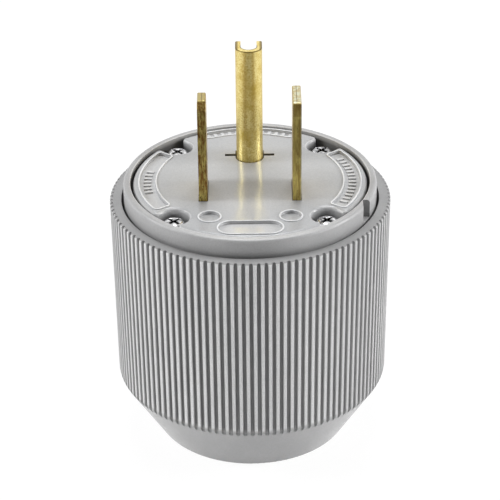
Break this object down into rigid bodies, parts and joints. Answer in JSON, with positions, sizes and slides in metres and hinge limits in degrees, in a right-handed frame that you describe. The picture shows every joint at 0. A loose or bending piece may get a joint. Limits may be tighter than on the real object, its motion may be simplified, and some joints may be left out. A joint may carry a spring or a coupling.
{
  "type": "straight-blade grounding plug",
  "caption": "Round ribbed grey grounding plug with flat brass blades, a U-section brass ground pin and a cord entry in its conical rear.",
  "frame": {"origin": "centre of the rear face, on which the plug stands", "axes": "+Z along the plug's axis towards the blades, +Y from the blades towards the ground pin"},
  "size_m": [0.0776, 0.0776, 0.1101],
  "materials": {
    "housing_nylon": "satin moulded nylon",
    "body_nylon": "satin moulded nylon",
    "cover_nylon": "semi-gloss moulded nylon",
    "blade_brass": "dull mottled brass",
    "pin_brass": "bright drawn brass",
    "terminal_brass": "plain brass",
    "plated_steel": "zinc plated",
    "green_screw": "green dyed",
    "clamp_nylon": "satin moulded nylon"
  },
  "bodies": {
    "root": {"housing": "housing_nylon", "terminal_body": "body_nylon", "face_cover": "cover_nylon", "blade_left": "blade_brass", "blade_right": "blade_brass", "ground_pin": "pin_brass", "assembly_screws": "plated_steel", "assembly_nuts": "plated_steel", "terminal_frame_left": "terminal_brass", "terminal_frame_right": "terminal_brass", "terminal_frame_ground": "terminal_brass", "pressure_plate_left": "terminal_brass", "pressure_plate_right": "terminal_brass", "pressure_plate_ground": "terminal_brass", "terminal_screw_left": "terminal_brass", "terminal_screw_right": "terminal_brass", "terminal_screw_ground": "green_screw", "cord_clamp_fixed_jaw": "clamp_nylon", "cord_clamp_moving_jaw": "clamp_nylon", "cord_clamp_screws": "plated_steel", "cord_clamp_nuts": "plated_steel"}
  },
  "joints": []
}
